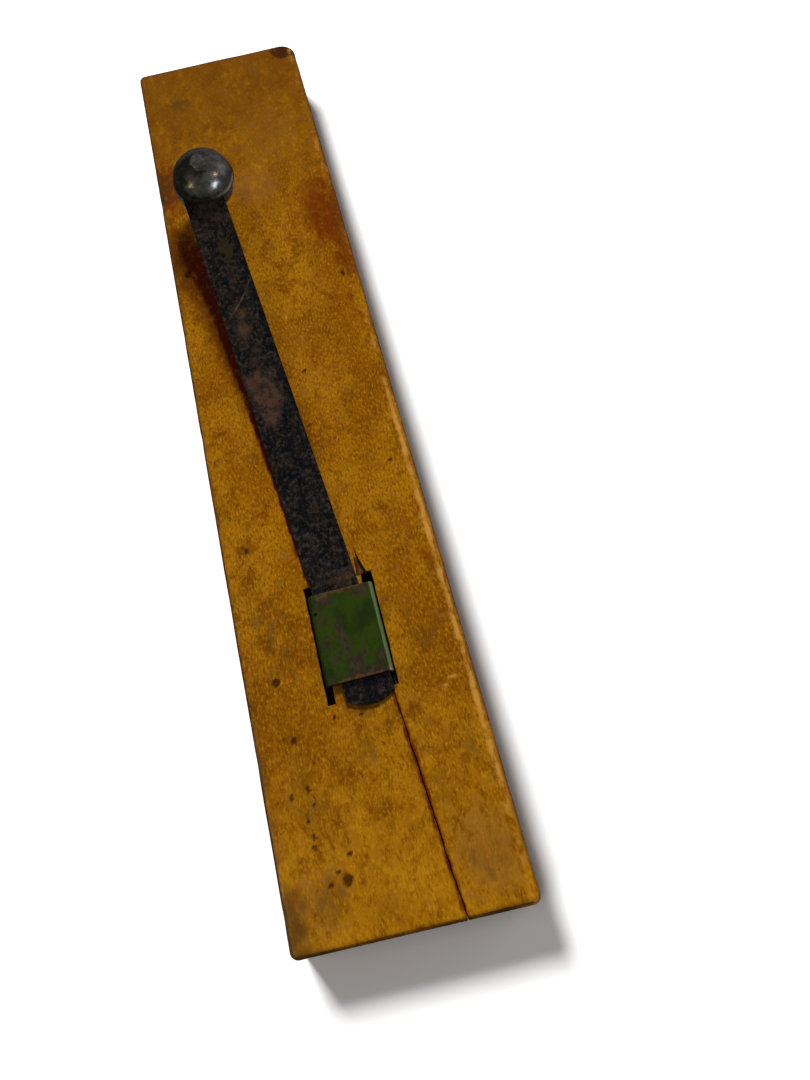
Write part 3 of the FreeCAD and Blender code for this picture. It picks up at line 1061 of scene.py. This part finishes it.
def reed_masks(piece):
    """Stains on the reed, placed across it and along it from the clip's mouth."""
    points = places(piece)
    add_rest_places(piece, points)
    strip = moved(points, reed_place.inverted()) * (1, 1, 0)
    rust = [
        (-1.0, 56, 5.5, 12, 1.0), (-2.6, 49, 2.8, 5, 1.0), (-1.0, 77, 5, 9, 0.85), (2, 2.5, 6, 3.4, 0.7),
        (3, 8, 3, 6, 0.45), (-1, 36, 5, 5, 0.4), (1.5, 20, 3, 4, 0.55), (-1, 13, 3, 3, 0.4),
        (0, 90, 4, 9, 0.45), (0, 114, 6, 8, 0.8), (2.0, 112, 2, 5, 0.4), (-2, 26, 2.5, 4, 0.35),
    ]
    add_mask(piece, "rust", patches(strip, rust, 1.4, 91))
    olive = [
        (1.5, 101, 2.6, 6, 0.95), (3.6, 105.5, 1.6, 2.4, 0.6), (-4.3, 92.8, 1.1, 1.6, 0.9),
        (-4.2, 89.0, 1.1, 3.4, 0.8), (-1, 94, 3, 4, 0.35),
    ]
    add_mask(piece, "olive", patches(strip, olive, 0.9, 93))
    blue = [
        (0, 27, 7, 22, 0.62), (0, 41, 6, 6, 0.75), (0, -20, 7, 12, 0.8), (4.8, 55, 1.9, 10, 1.0),
        (5.2, 68, 1.9, 16, 1.0), (4.9, 84, 1.9, 12, 0.95), (4.5, 99, 1.8, 7, 1.0),
        (-0.7, 71, 1.3, 1.2, 1.0), (-0.4, 64, 1.0, 0.9, 0.95), (0.6, 64.6, 1.0, 0.9, 0.8),
        (-3, 97, 1.5, 5, 0.6), (3, 10, 1.5, 3, 0.4),
    ]
    add_mask(piece, "blue_black", patches(strip, blue, 1.2, 95))
    add_mask(piece, "scratch", scratch_mask(strip))
    orange = [(-3.2, 50.2, 0.9, 0.9, 0.9), (-2.4, 52.6, 0.5, 0.8, 0.6)]
    add_mask(piece, "orange", patches(strip, orange, 0.3, 98))


# The striker


def pressed_flats(points, flats):
    """Presses each flat, given as (turn, tilt, distance), into points that lie round the origin."""
    firmness = 0.85
    for turn, tilt, distance in flats:
        turn, tilt = math.radians(turn), math.radians(tilt)
        facing = np.array((math.cos(turn) * math.cos(tilt), math.sin(turn) * math.cos(tilt), math.sin(tilt)))
        beyond = points @ facing - distance
        pressed = np.where(beyond > 0, firmness * beyond, 0)
        points -= pressed[:, None] * facing
    return points


def striker_dome():
    top = math.acos(peened_radius / dome_radius)
    bend = np.linspace(0, top, 34)
    profile = [(dome_radius * math.cos(a), dome_height * math.sin(a)) for a in bend]
    bore_top = dome_height * math.sin(top) - peened_depth
    profile += [(bore_radius, bore_top), (bore_radius, 2.0), (bore_radius, 0)]
    profile += [(radius, 0) for radius in (3.2, 5.0, 6.6)]
    points, faces = turned(profile, 112)
    radius = np.hypot(points[:, 0], points[:, 1])
    outside = ramp(bore_radius + 0.3, peened_radius, radius)
    squash = np.array((1, 1, dome_radius / dome_height))
    depths = [
        (-62, 26, 0.06), (-20, 38, 0.05), (30, 28, 0.1), (80, 16, 0.16), (132, 20, 0.13),
        (172, 10, 0.18), (-125, 28, 0.08), (210, 40, 0.08), (-95, 8, 0.13), (8, 8, 0.13),
        (48, 6, 0.18), (82, 50, 0.38), (124, 42, 0.3), (165, 40, 0.14),
    ]
    flats = [(turn, tilt, dome_radius - depth) for turn, tilt, depth in depths]
    shape = pressed_flats(points * squash, flats) / squash
    height = points[:, 2]
    lip = 0.22 * (ramp(0.9, 1.3, height) - ramp(1.3, 3.0, height))
    dents = lip + 0.05 * (1 - lumps(points, 4.0, 101)) + 0.01 * (1 - lumps(points, 1.8, 102))
    dents += hump(radius, 3.0, 0.6) * (height > 4) * 0.03 * (1 + lumps(points, 0.9, 103))
    radial = points / np.linalg.norm(points, axis=1)[:, None]
    shape -= radial * (dents * outside * (height > 0.05))[:, None]
    shape[:, 2] = np.maximum(shape[:, 2], 0) + reed_thickness
    dome = new_object("dome_metal", moved(shape, striker_place), faces)
    clean(dome)
    return dome


def striker_base():
    profile = [(bore_radius, 0), (4.0, 0), (6.5, 0), (base_radius - 0.3, 0), (base_radius - 0.05, -0.25)]
    profile += [(base_radius, -depth) for depth in np.linspace(0.6, base_wall - 0.3, 5)]
    profile.append((base_radius - 0.1, -base_wall))
    for share in np.linspace(0.15, 0.75, 6):
        spread = base_radius + (base_bottom_radius - base_radius) * share
        profile.append((spread, -base_wall - (base_height - base_wall) * share))
    for angle in np.radians(np.linspace(25, 80, 5)):
        inset, raised = base_round * (1 - math.cos(angle)), base_round * (1 - math.sin(angle))
        profile.append((base_bottom_radius - inset, raised - base_height))
    profile += [(4.6, -base_height), (rivet_head_radius + 0.1, -base_height)]
    profile += [(bore_radius, -base_height + rivet_head_depth), (bore_radius, -2.0)]
    points, faces = turned(profile[::-1], 120)
    radius = np.hypot(points[:, 0], points[:, 1])
    outside = ramp(4.5, 6.5, radius)
    flats = [(turn, 0, base_radius - 0.12) for turn in (-8, 36, 82, 128, 171, 212, 258, 308)]
    shape = pressed_flats(points.copy(), flats)
    dents = 0.05 * (1 - lumps(points, 2.6, 111)) + 0.03 * (1 - lumps(points, (1.2, 1.2, 0.8), 112))
    radial = points * (1, 1, 0) / np.maximum(radius, 0.1)[:, None]
    shape -= radial * (dents * outside)[:, None]
    shape[:, 0] += base_offset * ramp(rivet_head_radius + 0.3, 4.4, radius)
    base = new_object("base_metal", moved(shape, striker_place), faces)
    clean(base)
    return base


def striker_rivet():
    """A countersunk head below, a shank, and an end hammered over the dome's top."""
    bottom = -base_height
    top = reed_thickness + dome_height
    profile = [(0, bottom + 0.05), (1.2, bottom + 0.02), (2.0, bottom)]
    profile += [(rivet_head_radius - 0.1, bottom + 0.05), (rivet_radius, bottom + rivet_head_depth)]
    profile += [(rivet_radius, height) for height in np.linspace(-3, top - peened_depth - 0.4, 10)]
    for angle in np.linspace(0, 90, 9):
        spread = peened_radius * math.cos(math.radians(angle))
        profile.append((spread, top - 0.42 + 0.36 * math.sin(math.radians(angle))))
    points, faces = turned(profile, 72)
    hammered = ramp(top - 0.8, top - 0.5, points[:, 2])
    points[:, 2] -= hammered * (0.05 * (1 - lumps(points, 0.9, 121)))
    swell = 1 + hammered * 0.06 * (lumps(points, 1.1, 122) - 0.6)
    points[:, :2] *= swell[:, None]
    rivet = new_object("rivet_steel", moved(points, striker_place), faces)
    clean(rivet)
    return rivet


def striker_masks(piece):
    points = places(piece)
    add_rest_places(piece, points)
    x, y, z = moved(points, striker_place.inverted()).T
    turn = np.degrees(np.arctan2(y, x))
    # Painted shade: darker on the left side, at the crown, towards the foot, in the seam at the reed and
    # under the base.
    left = (hump(np.abs(turn - 180) % 360, 0, 55) + hump(turn, -150, 50)) * (z > 0.4)
    crown = hump(np.hypot(x, y), 3.3, 1.0) * (z > 4)
    crevice = 1 - ramp(0.1, 1.3, np.abs(z - 0.3))
    below = 0.4 * ramp(-2.5, -5, z)
    foot = (1 - ramp(1.0, 4.2, z)) * (z > 0.5) * (1 - 0.6 * hump(turn, -45, 60))
    # The lumps add patina.
    patina_and_shade = foot + 0.75 * left + 0.5 * crown + 0.35 * crevice + below + 0.25 * lumps(points, 3, 131)
    add_mask(piece, "patina_and_shade", patina_and_shade)
    # A painted highlight: the lip at the front right painted pale where it catches the light.
    lip = hump(z, 1.25, 0.45) * hump(turn, -42, 34)
    add_mask(piece, "highlight_and_rub", lip * (0.85 + 0.3 * lumps(points, 1.5, 133)))


# Placing, light and camera


def place_piece(piece, node):
    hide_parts(node)
    return piece


def lamp(name, azimuth, elevation, distance, size, power, colour=(1, 1, 1)):
    """A square soft light aimed at the middle of the bar. Azimuth 0 is past the striker, 90 is right.

    Distance and size are in metres and power is in watts.
    """
    turn, rise = math.radians(azimuth), math.radians(elevation)
    towards = Vector((math.sin(turn) * math.cos(rise), math.cos(turn) * math.cos(rise), math.sin(rise)))
    data = bpy.data.lights.new(name, "AREA")
    data.size = size
    data.energy = power
    data.color = colour
    made = bpy.data.objects.new(name, data)
    made.location = towards * distance
    made.rotation_euler = towards.to_track_quat("Z", "Y").to_euler()
    bpy.context.scene.collection.objects.link(made)
    return made


def light_only(light, thing, state):
    """Makes a light fall on one thing alone (INCLUDE) or on everything but it (EXCLUDE)."""
    group = bpy.data.collections.new(light.name + " falls on")
    group.objects.link(thing)
    group.collection_objects[0].light_linking.link_state = state
    light.light_linking.receiver_collection = group


def light_studio(floor):
    key = lamp("key", 20, 36, 2.4, 0.6, 83, (1.0, 0.98, 0.95))
    key.visible_glossy = False
    light_only(key, floor, "EXCLUDE")
    light_only(lamp("floor_light", -20, 49, 2.4, 0.6, 86), floor, "INCLUDE")
    lamp("left_fill", -105, 52, 2.4, 1.6, 15, (1.0, 0.97, 0.93))
    lamp("right_edge", 74, 24, 1.6, 0.9, 3.0)
    world = bpy.data.worlds.new("studio")
    world.use_nodes = True
    world.node_tree.nodes["Background"].inputs["Color"].default_value = (0.11, 0.112, 0.115, 1)
    world.node_tree.nodes["Background"].inputs["Strength"].default_value = 1.0
    bpy.context.scene.world = world
    bpy.context.scene.view_settings.view_transform = "Standard"


def light_highlights(dome):
    """Small lamps for the highlights on the polished dome."""
    light_only(lamp("window", 140, 24, 1.4, 0.42, 18, (0.9, 0.95, 1.0)), dome, "INCLUDE")
    light_only(lamp("warm_lamp", -120, 30, 1.3, 0.07, 5, (1.0, 0.86, 0.4)), dome, "INCLUDE")
    light_only(lamp("amber_lamp", 102, 48, 1.3, 0.14, 3.0, (1.0, 0.66, 0.42)), dome, "INCLUDE")


def lay_floor():
    half = 4000.0
    gap = 0.02
    corners = np.array([(-half, -half, 0), (half, -half, 0), (half, half, 0), (-half, half, 0)])
    floor = new_object("floor", corners, np.array([[0, 1, 2, 3]]))
    floor.location.z = -gap * MM
    floor.data.materials.append(pale_floor())
    floor.visible_glossy = False
    return floor


def place_camera():
    data = bpy.data.cameras.new("camera")
    data.sensor_width = 36
    data.lens = 27.033
    data.clip_start = 0.005
    camera = bpy.data.objects.new("camera", data)
    camera.location = Vector((9.534, -123.815, 187.698)) * MM
    camera.rotation_euler = Euler([math.radians(angle) for angle in (23.396, 3.443, -14.099)], "XYZ")
    bpy.context.scene.collection.objects.link(camera)
    bpy.context.scene.camera = camera


place_camera()
light_studio(lay_floor())

bar = place_piece(sounding_bar(), "sounding_bar")
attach(bar, "bar")

clip = place_piece(reed_clip(), "reed_clip")
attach(clip, "clip")

reed = place_piece(reed_strip(), "reed_strip")
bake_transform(reed)

dome_metal = cast_grey_metal("dull_grey_metal", 0.7, srgb(60, 60, 58), srgb(82, 82, 80))
# The base's copy is lighter and less metallic than the dome's: a paler metal, and painted light on a base in
# the dome's shadow.
base_metal = cast_grey_metal("cast_grey_metal", 0.3, srgb(80, 77, 70), srgb(106, 103, 97))
dome = striker_dome()
light_highlights(dome)
for made, node, slot, material, sharp in (
    (dome, "striker_dome", "striker_metal", dome_metal, 40),
    (striker_base(), "striker_base", "striker_metal", base_metal, 40),
    (striker_rivet(), "striker_rivet", "rivet_steel", peened_steel(), 45),
):
    striker_masks(made)
    made.data.materials.append(material)
    smooth_shade(made, sharp)
    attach(place_piece(made, node), "striker")
